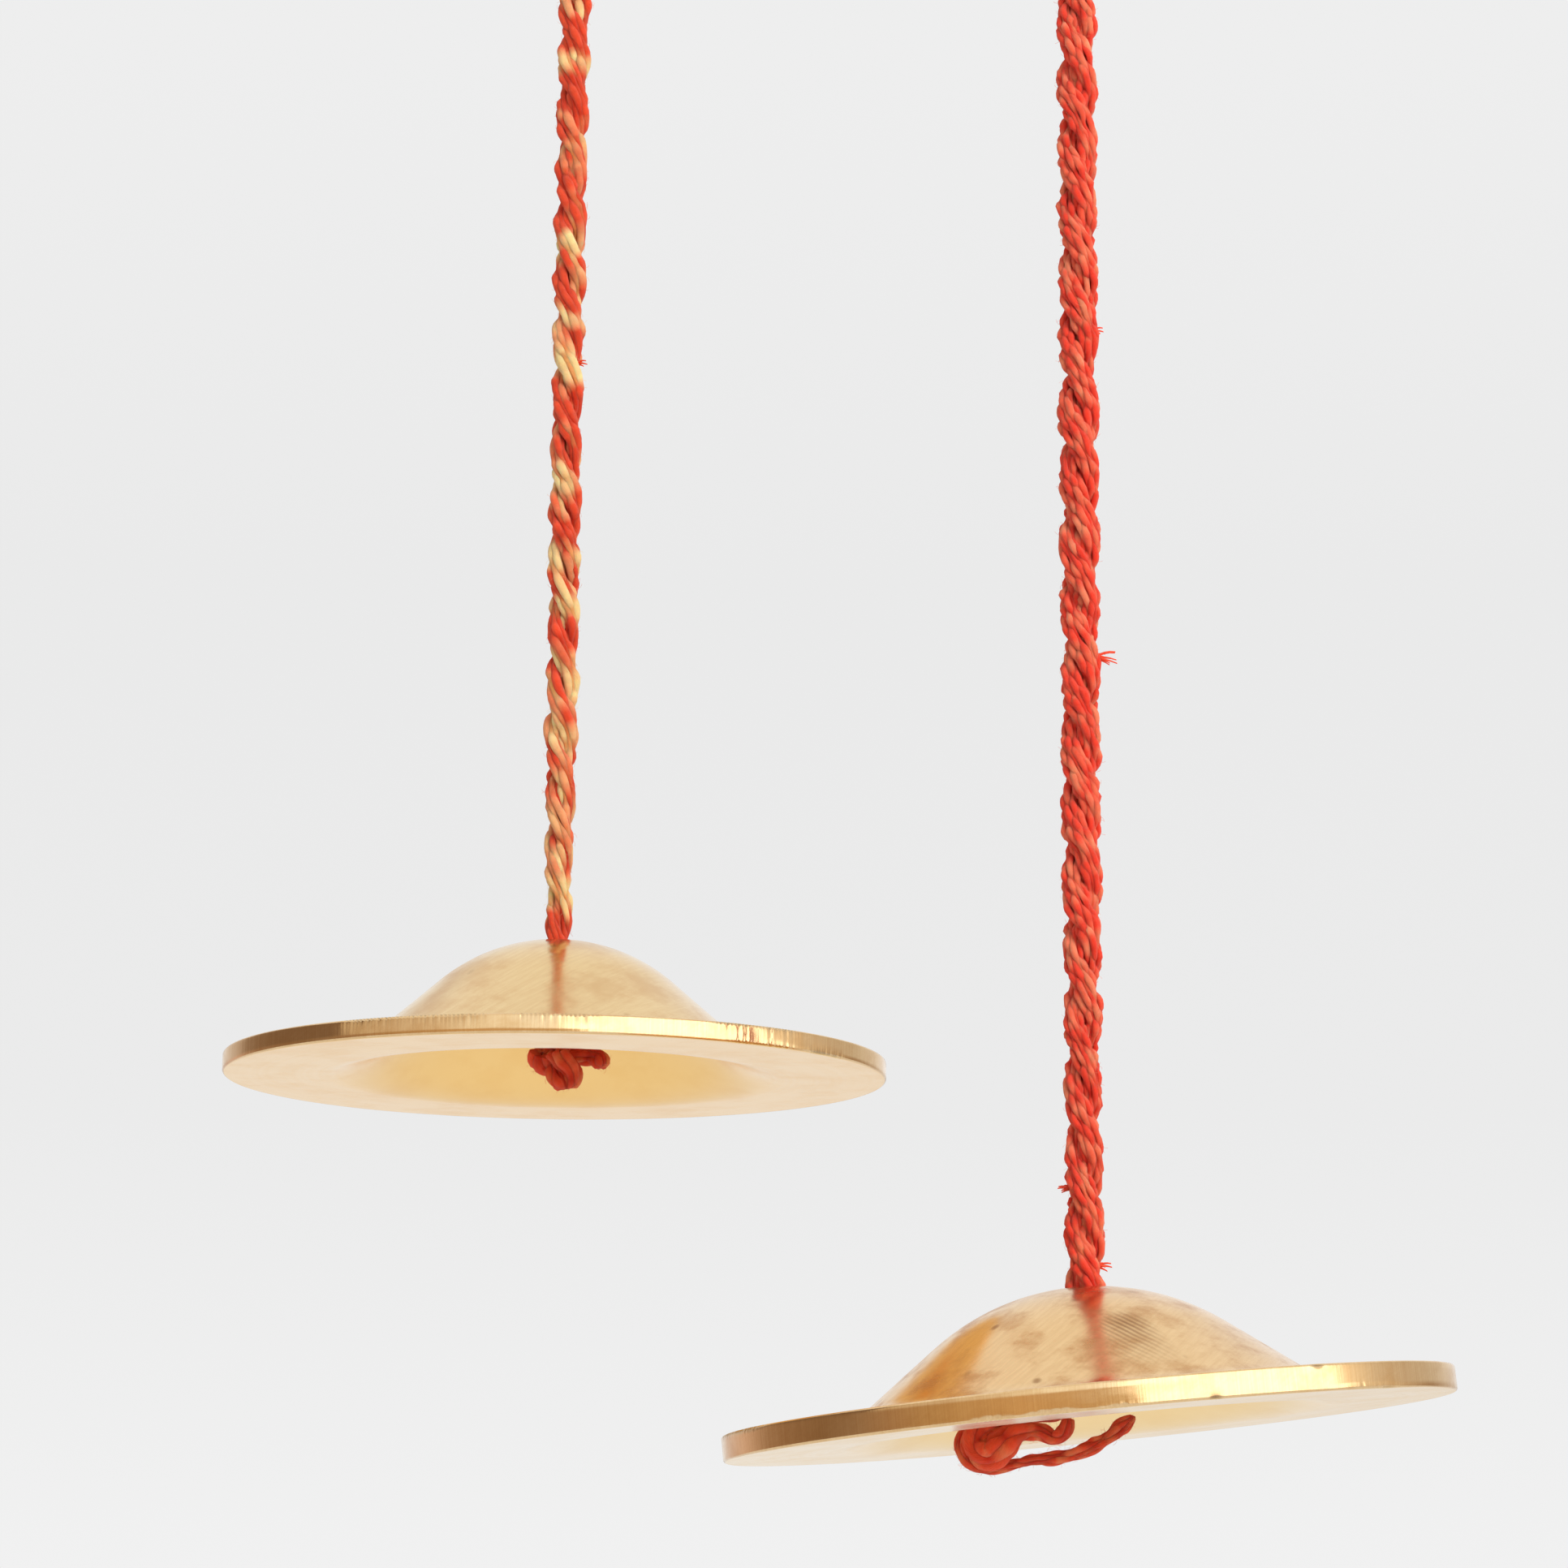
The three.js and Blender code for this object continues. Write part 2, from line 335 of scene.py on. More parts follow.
def makeLaidCord():
    tree, given, wanted = newGroup("laidCord", "GeometryNodeTree", {
        "Geometry": None, "Step": 0.3 * mm, "Start": 0.0, "Side": (0, 1, 0), "Seed": 0.0,
        "Strands": 2, "Yarns": 7, "Sides": 8, "Lay": -11.7 * mm, "Yarn Lay": 17.0 * mm,
        "Spread": 0.8 * mm, "Depth": 0.5 * mm, "Width": 0.9 * mm, "Yarn Radius": 0.36 * mm,
        "Turn": 0.0, "Unevenness": 0.1, "First Size": 1.0, "First Reach": 20.0 * mm,
        "Bulge": 0.0, "Bulge At": 0.0, "Bulge Reach": 2.0 * mm, "End Round": 0.0,
        "End Reach": 1.0 * mm, "Bumps": 0.35, "Stray": 0.08 * mm, "Stroke": 4.6 * mm, "Dive": 0.0,
        "Fuzz Density": 900000.0, "Fuzz Length": 0.9 * mm, "Material": None},
        {"Geometry": "Geometry"})

    def keep(geometry, name, value, kind="FLOAT"):
        return result(tree, "GeometryNodeStoreNamedAttribute", {
            "Geometry": geometry, "Name": name, "Value": value}, data_type=kind)

    route = result(tree, "GeometryNodeResampleCurve", {
        "Curve": given["Geometry"], "Length": given["Step"]}, mode="LENGTH")
    count = multiply(given["Strands"], given["Yarns"])
    copies = put(tree, "GeometryNodeDuplicateElements", {
        "Geometry": route, "Amount": count}, domain="SPLINE")
    number = copies.outputs["Duplicate Index"]
    strand = calc("FLOOR", divide(add(number, 0.5), given["Yarns"]))
    yarn = subtract(number, multiply(strand, given["Yarns"]))
    length = put(tree, "GeometryNodeSplineParameter").outputs["Length"]

    # A place along the cord, in mm, is kept on the yarns before they leave the route
    along = add(length, given["Start"])
    yarns = keep(copies.outputs[0], "along", multiply(along, 1000.0))
    kept = result(tree, "GeometryNodeInputNamedAttribute", {"Name": "along"}, data_type="FLOAT")
    along = multiply(kept, 0.001)

    # A frame of three directions that doesn't twist along the route
    tangent = result(tree, "GeometryNodeInputTangent")
    free = subtract(1.0, vectorCalc("LENGTH", given["Side"]))
    normal = result(tree, "GeometryNodeInputNormal")
    normal = vectorCalc("ADD", given["Side"], times(normal, free))
    across = vectorCalc("NORMALIZE", vectorCalc("CROSS_PRODUCT", tangent, normal))
    normal = vectorCalc("CROSS_PRODUCT", across, tangent)

    def turning(lay, index, parts):
        return multiply(add(divide(along, lay), divide(index, parts)), math.tau)

    def onFrame(a, b, x, y):
        return vectorCalc("ADD", times(a, x), times(b, y))

    # Each yarn comes to the surface for a stroke, then dives under its neighbours
    yarnAt = combine(multiply(along, laying["bumps"]), multiply(number, laying["bumpsApart"]),
                     given["Seed"])
    bump = subtract(noise(yarnAt, 1.0, 1.0), 0.5)
    slip = multiplyAdd(number, laying["slip"], multiply(bump, laying["slipByBump"]))
    raised = calc("SINE", multiplyAdd(divide(along, given["Stroke"]), math.tau, slip))
    out = multiplyAdd(raised, given["Dive"], 1.0)

    strandAngle = add(turning(given["Lay"], strand, given["Strands"]), given["Turn"])
    cosine = calc("COSINE", strandAngle)
    sine = calc("SINE", strandAngle)
    outward = onFrame(normal, across, cosine, sine)
    sideways = onFrame(normal, across, multiply(sine, -1.0), cosine)
    yarnAngle = turning(given["Yarn Lay"], yarn, given["Yarns"])
    depth = multiply(given["Depth"], out)
    width = multiply(given["Width"], out)
    offset = onFrame(outward, sideways,
                     multiplyAdd(calc("COSINE", yarnAngle), depth, given["Spread"]),
                     multiply(calc("SINE", yarnAngle), width))

    # The cord swells and thins along its length, and has another size at its first end
    swellAt = combine(multiply(along, laying["swells"]), given["Seed"], 0.0)
    swell = multiply(subtract(noise(swellAt, 1.0, 1.0), 0.5), laying["swellGain"])
    swell = multiplyAdd(swell, given["Unevenness"], 1.0)
    size = spread(along, 0.0, given["First Reach"], given["First Size"], 1.0, True)
    size = multiply(size, swell)
    away = divide(subtract(along, given["Bulge At"]), given["Bulge Reach"])
    bulge = calc("EXPONENT", multiply(multiply(away, away), -1.0))
    size = multiply(size, multiplyAdd(bulge, given["Bulge"], 1.0))
    remaining = subtract(put(tree, "GeometryNodeSplineLength").outputs["Length"], length)
    closed = subtract(1.0, divide(remaining, given["End Reach"], clamp=True))
    narrow = subtract(1.0, calc("SQRT", subtract(1.0, multiply(closed, closed))))
    size = multiply(size, subtract(1.0, multiply(narrow, given["End Round"])))

    # Each yarn is soft: it is fuller where it comes up and strays from its line
    fuller = multiplyAdd(raised, laying["fullByStroke"], multiply(bump, laying["fullByBump"]))
    yarnSwell = multiplyAdd(fuller, given["Bumps"], 1.0)
    strayNoise = put(tree, "ShaderNodeTexNoise", {
        "Vector": yarnAt, "Scale": laying["strays"], "Detail": 1.0})
    stray = vectorCalc("SUBTRACT", strayNoise.outputs["Color"], (0.5, 0.5, 0.5))
    stray = times(stray, multiply(given["Stray"], laying["strayGain"]))
    offset = vectorCalc("ADD", times(offset, size), stray)
    radius = multiply(given["Yarn Radius"], multiply(size, yarnSwell))
    laid = result(tree, "GeometryNodeSetPosition", {"Geometry": yarns, "Offset": offset})
    for label, value in (("strand", strand), ("yarn", yarn), ("raised", raised)):
        laid = keep(laid, label, value)
    ring = result(tree, "GeometryNodeCurvePrimitiveCircle", {
        "Resolution": given["Sides"], "Radius": 1.0})
    ring = keep(ring, "around", result(tree, "GeometryNodeInputPosition"), "FLOAT_VECTOR")
    tubes = result(tree, "GeometryNodeCurveToMesh", {
        "Curve": laid, "Profile Curve": ring, "Scale": radius, "Fill Caps": True})

    # Loose fibres stand off the yarns: short bent threads of three sides
    spots = put(tree, "GeometryNodeDistributePointsOnFaces", {
        "Mesh": tubes, "Density": given["Fuzz Density"], "Seed": 4})
    shortest, longest = laying["fibreReach"]
    reach = put(tree, "FunctionNodeRandomValue", {"Min": shortest, "Max": longest, "Seed": 5}).outputs[1]
    reach = multiply(reach, given["Fuzz Length"])
    bend = result(tree, "GeometryNodeCurveQuadraticBezier", {
        "Resolution": 2, **laying["fibreBend"]})
    thread = result(tree, "GeometryNodeCurvePrimitiveCircle", {
        "Resolution": 3, "Radius": laying["fibreThick"]})
    thread = result(tree, "GeometryNodeCurveToMesh", {
        "Curve": bend, "Profile Curve": thread, "Fill Caps": True})
    spin = put(tree, "FunctionNodeRandomValue", {"Max": math.tau, "Seed": 6}).outputs[1]
    spin = result(tree, "FunctionNodeEulerToRotation", {0: combine(0.0, 0.0, spin)})
    facing = result(tree, "FunctionNodeRotateRotation", {
        "Rotation": spots.outputs["Rotation"], "Rotate By": spin}, rotation_space="LOCAL")
    fuzz = result(tree, "GeometryNodeInstanceOnPoints", {
        "Points": spots.outputs["Points"], "Instance": thread, "Rotation": facing,
        "Scale": combine(reach, reach, reach)})
    whole = put(tree, "GeometryNodeJoinGeometry")
    tree.links.new(fuzz, whole.inputs[0])
    tree.links.new(tubes, whole.inputs[0])
    real = result(tree, "GeometryNodeRealizeInstances", {"Geometry": whole.outputs[0]})
    painted = result(tree, "GeometryNodeSetMaterial", {
        "Geometry": real, "Material": given["Material"]})
    tree.links.new(painted, wanted["Geometry"])
    return tree


laidCordTree = makeLaidCord()


def setInputs(modifier, values):
    for item in modifier.node_group.interface.items_tree:
        if item.item_type == "SOCKET" and item.in_out == "INPUT" and item.name in values:
            modifier[item.identifier] = values[item.name]


def plainMesh(name, source):
    # The evaluated result as a mesh of its own, and the source removed
    bpy.context.view_layer.update()
    evaluated = source.evaluated_get(bpy.context.evaluated_depsgraph_get())
    mesh = bpy.data.meshes.new_from_object(evaluated)
    mesh.materials.pop(index=0)  # the curve's own slot, which is empty
    source.modifiers.clear()
    bpy.data.objects.remove(source)
    mesh.name = name
    mesh.shade_smooth()
    return addObject(name, mesh)


def layCord(name, points, values):
    data = bpy.data.curves.new(name + "Route", "CURVE")
    data.dimensions = "3D"
    spline = data.splines.new("POLY")
    spline.points.add(len(points) - 1)
    for i, point in enumerate(points):
        spline.points[i].co = (*point, 1.0)
    source = addObject(name + "Route", data)
    modifier = source.modifiers.new("laidCord", "NODES")
    modifier.node_group = laidCordTree
    setInputs(modifier, values)
    return plainMesh(name, source)


def palePlaces(piece, places):
    along = np.empty(len(piece.data.vertices), dtype=np.float32)
    piece.data.attributes["along"].data.foreach_get("value", along)
    paler = np.zeros_like(along)
    for middle, reach, strength in places:
        paler = np.maximum(paler, strength * np.exp(-((along - middle) / reach) ** 2))
    setAttribute(piece.data, "paler", "FLOAT", paler)


# Short bunches of threads that have worked out of the cord, each of a few bent tubes. Lengths, fan
# and rise are shares of a bunch's reach.
tuftThread = {
    "thick": 0.15 * mm,
    "parts": 4,
    "lengths": (0.75, 0.25),  # the middle one, and how far longer or shorter others are
    "lengthTurns": 3,  # how often they change from long to short in a turn of the bunch
    "fan": 0.28,
    "rise": 0.15,
    "kneeAside": 0.1 * mm,
    "taper": 0.6,
    "spin": 2.4,  # radians from one thread to the next, the golden angle
    "raised": -0.5,  # painted shade: they take the same painted shade as the cord's hollows
}


def addTufts(piece, tufts, x):
    thread = tuftThread
    middleLength, change = thread["lengths"]
    shape = bmesh.new()
    shape.from_mesh(piece.data)
    raised = shape.verts.layers.float["raised"]
    for t in tufts:
        out = Matrix.Rotation(math.radians(t["toward"]), 3, "Z") @ Vector((1, 0, 0))
        beside = Vector((-out.y, out.x, 0))
        foot = Vector((x, 0, t["height"] * mm)) + out * t["from"] * mm
        reach = t["reach"] * mm
        for i in range(t["threads"]):
            spin = i * thread["spin"]
            aside = Vector((0, 0, math.sin(spin))) + beside * math.cos(spin)
            length = middleLength + change * math.cos(thread["lengthTurns"] * spin)
            tip = foot + (out * length + aside * thread["fan"]) * reach
            lift = Vector((0, 0, thread["rise"] * reach))
            knee = foot.lerp(tip, 0.5) + lift + aside * thread["kneeAside"]
            rings = []
            for j in range(thread["parts"] + 1):
                s = j / thread["parts"]
                middle = foot * (1 - s) ** 2 + knee * 2 * s * (1 - s) + tip * s * s
                thick = thread["thick"] * (1 - thread["taper"] * s)
                rings.append([shape.verts.new(middle + thick * (
                    beside * math.cos(a) + Vector((0, 0, math.sin(a)))))
                    for a in (0, math.tau / 3, 2 * math.tau / 3)])
                for vertex in rings[-1]:
                    vertex[raised] = thread["raised"]
            for a, b in zip(rings, rings[1:]):
                for j in range(3):
                    shape.faces.new((a[j], a[(j + 1) % 3], b[(j + 1) % 3], b[j])).smooth = True
            shape.faces.new(reversed(rings[0]))
            shape.faces.new(rings[-1])
    shape.to_mesh(piece.data)
    shape.free()


# The cord
# One cord over its support: a half circle, then straight down on both sides. The two sides meet
# at the crown, and each is divided again where its bends are far away.
cord = {
    "spacing": 56.2 * mm,
    "bightRadius": 1.35 * mm,  # of the cord itself at the bight
    "bightSteps": 60,
    "hangingSteps": 30,
    "seam": -36.0 * mm,  # height where the bight's piece meets the hanging piece
    "bightBlend": (-18.5 * mm, -35.3 * mm),
    "foreBlend": (-37.0 * mm, -53.0 * mm),
    "bothSides": {"First Reach": 30 * mm, "Bumps": 0.52, "Stray": 0.12 * mm,
                  "Fuzz Density": 1000000.0, "Fuzz Length": 0.6 * mm},
}
# Pale places are where the dye missed the cord: how far along it, how far each way, and how much.
# Tufts have their height, how far from the cord's middle they start and how far they reach. All
# are in mm, and toward is in degrees about Z from +X.
sides = {
    "left": {
        "side": -1,
        "holeHeight": -116.2 * mm,
        "diameter": 2.4 * mm,
        "slot": "cord_red_cream",
        "tufts": [{"height": -60.5, "toward": 35, "from": 0.8, "reach": 1.0, "threads": 5}],
        "palePlaces": [(48.3, 1.2, 0.7), (53.5, 1.0, 0.5), (66.4, 1.2, 0.75), (74.1, 1.0, 0.5),
                       (78.6, 1.8, 0.85), (89.3, 1.5, 0.9), (96.8, 1.3, 0.75), (101.7, 1.0, 0.5),
                       (108.9, 3.0, 1.0), (113.5, 1.6, 0.6), (122.3, 5.0, 0.7),
                       (128.5, 2.2, 0.75)],
        "laid": {"Lay": -11.0 * mm, "Yarn Lay": 26.0 * mm, "Spread": 0.67 * mm, "Depth": 0.47 * mm,
                 "Width": 0.65 * mm, "Yarn Radius": 0.345 * mm, "Yarns": 7, "Stroke": 5.2 * mm,
                 "Dive": 0.22, "First Size": 1.0, "Seed": 3.0,
                 "Bulge": -0.21, "Bulge At": 133 * mm, "Bulge Reach": 14 * mm},
    },
    "right": {
        "side": 1,
        "holeHeight": -150.1 * mm,
        "diameter": 3.0 * mm,
        "slot": "cord_red",
        "palePlaces": [],
        "tufts": [
            {"height": -96.2, "toward": 36, "from": 1.1, "reach": 2.0, "threads": 8},
            {"height": -67.3, "toward": 36, "from": 1.2, "reach": 1.0, "threads": 6},
            {"height": -141.2, "toward": 216, "from": 1.1, "reach": 1.1, "threads": 6},
            {"height": -147.6, "toward": 36, "from": 1.0, "reach": 1.3, "threads": 5}],
        "laid": {"Lay": -11.7 * mm, "Yarn Lay": 21.0 * mm, "Spread": 0.78 * mm, "Depth": 0.6 * mm,
                 "Width": 0.82 * mm, "Yarn Radius": 0.26 * mm, "Yarns": 12, "Sides": 6,
                 "Stroke": 2.9 * mm, "Dive": 0.24, "First Size": 0.94, "Seed": 8.0,
                 "Fuzz Density": 700000.0,
                 "Bulge": -0.08, "Bulge At": 150 * mm, "Bulge Reach": 14 * mm},
    },
}


# Knots and loose ends
# Each cord passes through its cymbal's hole, is stopped by an overhand knot in the cup, and ends
# in its parted strands. Their lines are in mm, from the middle of the hole, turned with the cymbal.
handTurn = 35.9  # degrees about Z, of both cymbals and their knots
knotHalf = [(0, 2.3, 0), (2, 1.9, -0.4), (3.2, 0.1, -0.9), (2.4, -1.9, -1.5), (0.7, -2.8, -2.2),
            (-0.9, -2.2, -2.8), (-1.45, -0.8, -2.5), (-1.15, 0.05, -1.2), (-1.05, 0.1, 0)]
knotEnd = [(-0.2, 0.15, 4.3), (-0.95, 0.15, 1.7)]
knotTop = (0, 0, -0.15)  # just under the middle of the hole
holeSqueeze = 0.88  # how thick the cord is in the hole, as a share of its diameter
squeezeReach = 4.0
routeSteps = 10  # between two points of a line
knots = {
    "left": {"unit": 0.95, "turn": 0.0, "drop": 5.22, "radius": 1.04},
    "right": {"unit": 0.85, "turn": 180.0, "drop": 4.58, "radius": 0.95},
}
# A bulge is how much fuller a loose end is at one place, where along it, and how far each way
tails = {
    "left_tail": {
        "side": "left", "start": -125.695, "radius": 1.7, "strands": 2, "roundEnd": 1.5,
        "points": [(0.3, 0, -0.1), (0.5, -0.05, -1.1), (0.9, -0.15, -2.2), (1.05, -0.15, -3.2)]},
    "left_strand": {
        "side": "left", "start": -125.695, "radius": 0.82, "strands": 1, "roundEnd": 0.7,
        "bulge": (0.6, 0.9, 1.8),
        "points": [
            (-1.2, 0.4, 0.1), (-1.15, 0.9, -0.45), (-0.2, 1.7, -0.5), (1.4, 1.9, -0.1), (3, 1.5, 0),
            (3.95, 0.9, -0.35), (4.15, 0.6, -1.15)]},
    "right_tail_long": {
        "side": "right", "start": -158.635, "radius": 0.62, "strands": 1, "roundEnd": 1.6,
        "bulge": (-0.3, 17.5, 2.2),
        "points": [
            (0.1, 0.4, -0.3), (-1.4, 0.9, -0.6), (-4, 1.4, -1.1), (-7, 1.3, -1.4), (-9.3, 0.9, -2.1),
            (-10.1, 0.5, -3.6), (-9.6, 0.3, -4.8), (-8.3, 0.2, -5.4), (-6.5, 0.1, -5.2),
            (-4.4, 0, -4.8), (-1.8, -0.1, -4.45), (1.6, 0, -3.05), (4, 0.2, -1.15)]},
    "right_tail_short": {
        "side": "right", "start": -158.635, "radius": 0.66, "strands": 1, "roundEnd": 0.8,
        "bulge": (1.0, 11.4, 3.0),
        "points": [
            (-0.3, -0.8, -0.3), (-1.8, -0.6, -0.7), (-4.4, -0.1, -1.1), (-7, -0.1, -1.7),
            (-8.7, -0.2, -2.6), (-8.9, -0.3, -3.7), (-8, -0.5, -4.25), (-6.9, -0.8, -3.6),
            (-5.7, -1, -2.7), (-3.9, -1.2, -2.45), (-2.7, -1.3, -3), (-1.8, -1.6, -2.6),
            (-1.5, -1.8, -1.45)]},
}


def hungFrame(name, height):
    # From mm beside a cord, turned with its cymbal, to metres in the model
    x = sides[name]["side"] * cord["spacing"] / 2
    turn = Matrix.Rotation(math.radians(handTurn), 4, "Z")
    return Matrix.Translation((x, 0, height * mm)) @ turn @ Matrix.Scale(mm, 4)


def smoothRoute(points, steps):
    # A centripetal Catmull-Rom curve through the points, with so many steps between two of them
    points = [Vector(p) for p in points]
    ends = [2 * points[0] - points[1], *points, 2 * points[-1] - points[-2]]
    route = []
    for a, b, c, d in zip(ends, ends[1:], ends[2:], ends[3:]):
        before, middle, after = ((q - p).length ** 0.5 for p, q in ((a, b), (b, c), (c, d)))
        leave = ((b - a) / before - (c - a) / (before + middle) + (c - b) / middle) * middle
        arrive = ((c - b) / middle - (d - b) / (middle + after) + (d - c) / after) * middle
        for i in range(steps):
            t = i / steps
            route.append(b * (2 * t ** 3 - 3 * t ** 2 + 1) + leave * (t ** 3 - 2 * t ** 2 + t)
                         + c * (3 * t ** 2 - 2 * t ** 3) + arrive * (t ** 3 - t ** 2))
    return route + [points[-1]]


# A knotted or loose stretch, whose lay is pulled out and whose two strands are pressed together.
# Its form is in shares of one strand's own size.
loose = {
    "radius": {1: 1.0, 2: 1.75},  # of the whole, for one strand and for two
    "spread": {1: 0.0, 2: 0.75},
    "width": {1: 0.58, 2: 0.75},
    "depth": 0.58,
    "yarn": 0.42,
    "values": {"Yarns": 6, "Lay": -9.0 * mm, "Yarn Lay": 9.0 * mm, "Side": (0, 0, 0), "Step": 0.2 * mm,
               "Bumps": 0.45, "Stray": 0.09 * mm, "Stroke": 3.6 * mm, "Dive": 0.16,
               "Fuzz Length": 0.6 * mm, "Fuzz Density": 2500000.0},
}


def looseValues(radius, strands):
    part = radius * mm / loose["radius"][strands]
    return {**loose["values"], "Strands": strands, "Spread": loose["spread"][strands] * part,
            "Depth": loose["depth"] * part, "Width": loose["width"][strands] * part,
            "Yarn Radius": loose["yarn"] * part, "Material": cotton["knots"]}


def layEnd(name, node, side, height, line, values):
    # A knot or a loose end along its line in mm
    hung = hungFrame(side, height)
    piece = layCord(name, [hung @ p for p in smoothRoute(line, routeSteps)], values)
    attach(piece, side + "_end")
    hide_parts(node)
    return piece


def makeKnot(name, k):
    upToFront = knotEnd + list(reversed(knotHalf[1:]))
    downFromFront = [(-x, y, -z) for x, y, z in reversed(upToFront)]
    turn = Matrix.Rotation(math.radians(k["turn"]), 4, "Z")
    line = [turn @ (Vector(p) * k["unit"]) - Vector((0, 0, k["drop"]))
            for p in upToFront + [knotHalf[0]] + downFromFront]
    s = sides[name]
    thick = holeSqueeze * s["diameter"] / 2 / (k["radius"] * mm)
    return layEnd(name + "_knotted_cord", name + "_knot", name, s["holeHeight"] / mm, [knotTop, *line], {
        **looseValues(k["radius"], 2), "First Size": thick, "First Reach": squeezeReach * mm})


def makeTail(name, t):
    bulge, at, reach = t.get("bulge", (0.0, 0.0, 1.0))
    return layEnd(name + "_cord", name, t["side"], t["start"], t["points"], {
        **looseValues(t["radius"], t["strands"]), "Bulge": bulge, "Bulge At": at * mm,
        "Bulge Reach": reach * mm, "End Round": 0.85, "End Reach": t["roundEnd"] * mm})


onCord = {name: [makeKnot(name, k)] for name, k in knots.items()}
for tailName, tailValues in tails.items():
    onCord[tailValues["side"]].append(makeTail(tailName, tailValues))
print("knots and loose ends laid")


def bightRoute(side):
    radius = cord["spacing"] / 2
    foot = cord["bightRadius"] - radius
    points = []
    for i in range(cord["bightSteps"] + 1):
        angle = math.pi / 2 * (1 - i / cord["bightSteps"])
        points.append(Vector((side * radius * math.cos(angle), 0, foot + radius * math.sin(angle))))
    points.append(Vector((side * radius, 0, cord["seam"])))
    return points


def lengthOf(points):
    return sum((b - a).length for a, b in zip(points, points[1:]))


def makeCordSide(name, s):
    values = {"Material": cotton[name], **cord["bothSides"], **s["laid"]}
    over = bightRoute(s["side"])
    start = lengthOf(over)
    bight = layCord(name + "_cord_bight", over, values)
    x = s["side"] * cord["spacing"] / 2
    down = [Vector((x, 0, cord["seam"])), Vector((x, 0, s["holeHeight"]))]
    hanging = layCord(name + "_cord_hanging", down, {**values, "Start": start})
    addTufts(hanging, s["tufts"], x)
    palePlaces(bight, s["palePlaces"])
    palePlaces(hanging, s["palePlaces"])
    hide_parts("cord_bight", name + "_cord_upper")
    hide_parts(name + "_cord_upper", name + "_cord_lower")
    top, bottom = cord["bightBlend"]
    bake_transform(bight, "bight", name + "_upper", start=(x, 0, top), end=(x, 0, bottom))
    top, bottom = cord["foreBlend"]
    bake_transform(hanging, name + "_upper", name + "_lower", start=(x, 0, top), end=(x, 0, bottom))


for sideName, sideValues in sides.items():
    makeCordSide(sideName, sideValues)
print("cord laid")


# Brass
# Marks that the lathe, the buff and hands leave. They read the cymbal's own place in mm, "own".
marks = {
    "scratchTurn": 0.6,  # radians
    "scratches": (0.35, 0.35, 4.5),  # to a mm, along them twice and across them
    "fingerTurn": 0.96,
    "fingerRidges": {"Scale": 0.95, "Distortion": 1.6, "Detail": 1.0, "Detail Scale": 0.4},
    "ringsAcross": 0.03,  # how fast the rings change from side to side, to a mm
    "streaksUp": 0.12,  # and the streaks along the axis
    "smudgeHeight": 0.7,  # to its width
    "specksUp": 0.55,  # how closely they stand along the axis, to across it
    "specks": 0.42,  # cells to a mm, of which only the few in this range of their noise have one
    "speckRange": (0.62, 0.9),
    "speckSize": (0.22, 0.05),
    "hazeRange": (0.42, 0.68),  # of each mark's noise, from none of it to all of it
    "scratchRange": (0.35, 0.65),
    "streakRange": (0.3, 0.7),
    "ridgeRange": (0.3, 0.7),
    "ringRoughness": 0.1,
    "finger": rgb(140, 92, 50),
    "fingerLight": (0.35, 0.95),  # how much of its colour shows between its ridges and on them
    "speck": rgb(160, 116, 70),
    "grime": rgb(84, 52, 28),
}


def makeBrassMarks():
    tree, given, wanted = newGroup(
        "brassMarks", "ShaderNodeTree", {"Ring Pitch": 0.35, "Streak Pitch": 0.3, "Smudge Size": 5.0},
        {mark: "Float" for mark in ("Rings", "Streaks", "Smudges", "Scratches", "Ridges", "Specks")})
    own = attribute(tree, "own", "Vector")
    part = put(tree, "ShaderNodeSeparateXYZ", {0: own}).outputs

    def turnedOwn(angle):
        return result(tree, "ShaderNodeVectorRotate", {
            "Vector": own, "Angle": angle}, rotation_type="Y_AXIS")

    radius = vectorCalc("LENGTH", vectorCalc("MULTIPLY", own, (1.0, 1.0, 0.0)))
    ringAt = combine(divide(subtract(radius, part["Z"]), given["Ring Pitch"]),
                     multiply(part["X"], marks["ringsAcross"]), multiply(part["Y"], marks["ringsAcross"]))
    pitch, size = given["Streak Pitch"], given["Smudge Size"]
    streakAt = combine(divide(part["X"], pitch), divide(part["Y"], pitch),
                       multiply(part["Z"], marks["streaksUp"]))
    smudgeAt = vectorCalc("DIVIDE", own, combine(size, size, multiply(size, marks["smudgeHeight"])))
    scratchAt = vectorCalc("MULTIPLY", turnedOwn(marks["scratchTurn"]), marks["scratches"])
    tree.links.new(noise(ringAt, 1.0, 3.0, 0.65), wanted["Rings"])
    tree.links.new(noise(streakAt, 1.0, 3.0, 0.65), wanted["Streaks"])
    tree.links.new(noise(smudgeAt, 1.0, 5.0, 0.62), wanted["Smudges"])
    tree.links.new(noise(scratchAt, 1.0, 3.0, 0.6), wanted["Scratches"])
    ridges = put(tree, "ShaderNodeTexWave", {
        "Vector": turnedOwn(marks["fingerTurn"]), **marks["fingerRidges"]}, bands_direction="X")
    tree.links.new(ridges.outputs["Fac"], wanted["Ridges"])
    spot = put(tree, "ShaderNodeTexVoronoi", {
        "Vector": vectorCalc("MULTIPLY", own, (1.0, 1.0, marks["specksUp"])),
        "Scale": marks["specks"], "Randomness": 1.0})
    few = result(tree, "ShaderNodeSeparateColor", {0: spot.outputs["Color"]})
    near = spread(spot.outputs["Distance"], *marks["speckSize"], smooth=True)
    speck = multiply(near, spread(few, *marks["speckRange"]))
    tree.links.new(speck, wanted["Specks"])
    return tree


brassMarks = makeBrassMarks()

